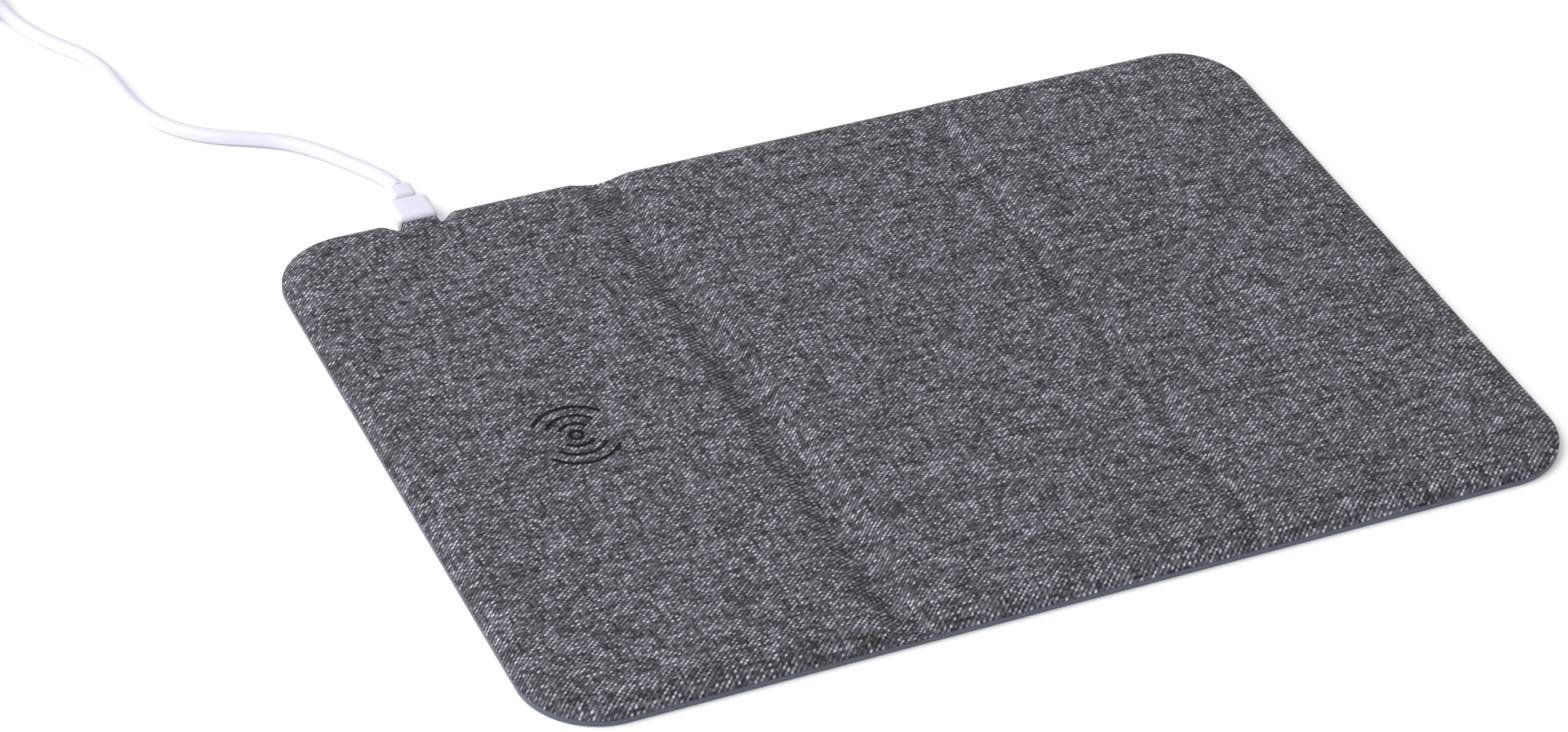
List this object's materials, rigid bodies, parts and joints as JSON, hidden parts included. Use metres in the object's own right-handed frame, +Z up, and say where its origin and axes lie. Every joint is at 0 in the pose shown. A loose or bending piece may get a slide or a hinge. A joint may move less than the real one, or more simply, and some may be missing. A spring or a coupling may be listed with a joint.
{
  "type": "foldable wireless charging desk mat",
  "caption": "Foldable woven-fabric desk mat with a wireless charging panel, fold grooves that let it close flat or prop up, and a plug-in white cable.",
  "frame": {"origin": "under the centre of the mat, on the surface it lies on", "axes": "+X along the mat's long side, from the charging panel to the end panel; +Y towards the edge with the USB port; +Z up"},
  "size_m": [0.3527, 0.3614, 0.0091],
  "materials": {
    "fabric": "heather grey plain weave, matt",
    "sheet": "smooth slate-blue backing sheet, satin",
    "foam": "fine closed-cell foam, matt black",
    "board": "pressed fibre board, matt",
    "case": "fine-textured black moulding",
    "ferrite": "sintered ferrite, dull",
    "copper": "enamelled copper wire",
    "circuit_board": "green solder mask",
    "chip": "black moulding resin",
    "ceramic": "tan ceramic",
    "plated_steel": "nickel-plated sheet",
    "white_plastic": "soft white moulded sleeve, satin",
    "tie": "black strap"
  },
  "bodies": {
    "charger_panel": {"charger_base_sheet": "sheet", "charger_fabric_cover": "fabric", "charger_foam_frame": "foam", "charger_tray": "case", "charger_lid": "case", "ferrite_sheet": "ferrite", "charging_coil": "copper", "coil_inner_lead": "copper", "coil_outer_lead": "copper", "circuit_board": "circuit_board", "controller_chip": "chip", "power_stage_chip": "chip", "input_inductor": "ferrite", "clock_crystal": "plated_steel", "resonant_capacitor_1": "ceramic", "resonant_capacitor_2": "ceramic", "resonant_capacitor_3": "ceramic", "usb_c_socket_shell": "plated_steel", "usb_c_socket_tongue": "case"},
    "wide_spine": {"wide_spine_base_sheet": "sheet", "wide_spine_fabric": "fabric"},
    "middle_panel": {"middle_base_sheet": "sheet", "middle_stiffener_board": "board", "middle_foam_pad": "foam", "middle_fabric_cover": "fabric"},
    "narrow_spine": {"narrow_spine_base_sheet": "sheet", "narrow_spine_fabric": "fabric"},
    "end_panel": {"end_base_sheet": "sheet", "end_stiffener_board": "board", "end_foam_pad": "foam", "end_fabric_cover": "fabric"},
    "usb_cable": {"usb_c_plug_shell": "plated_steel", "usb_c_overmold": "white_plastic", "usb_c_collar": "white_plastic", "usb_cord": "white_plastic", "usb_cord_coil": "white_plastic", "usb_cord_tail": "white_plastic", "coil_tie": "tie", "usb_a_collar": "white_plastic", "usb_a_overmold": "white_plastic", "usb_a_shell": "plated_steel", "usb_a_tongue": "white_plastic"}
  },
  "joints": [
    {"name": "wide_crease_a", "type": "hinge", "parent": "charger_panel", "child": "wide_spine", "pos_m": [-0.0486, 0, 0.001], "axis": [0, -1, 0], "range_deg": [-60, 90]},
    {"name": "wide_crease_b", "type": "hinge", "parent": "wide_spine", "child": "middle_panel", "pos_m": [-0.0351, 0, 0.001], "axis": [0, -1, 0], "range_deg": [-60, 90]},
    {"name": "narrow_crease_a", "type": "hinge", "parent": "middle_panel", "child": "narrow_spine", "pos_m": [0.0451, 0, 0.001], "axis": [0, -1, 0], "range_deg": [-60, 90]},
    {"name": "narrow_crease_b", "type": "hinge", "parent": "narrow_spine", "child": "end_panel", "pos_m": [0.0531, 0, 0.001], "axis": [0, -1, 0], "range_deg": [-60, 90]},
    {"name": "plug_slide", "type": "slide", "parent": "charger_panel", "child": "usb_cable", "axis": [0, 1, 0], "range_m": [0, 0.012]}
  ],
  "couplings": [
    {"joint": "wide_crease_b", "follows": "wide_crease_a", "ratio": 1},
    {"joint": "narrow_crease_b", "follows": "narrow_crease_a", "ratio": 1}
  ]
}
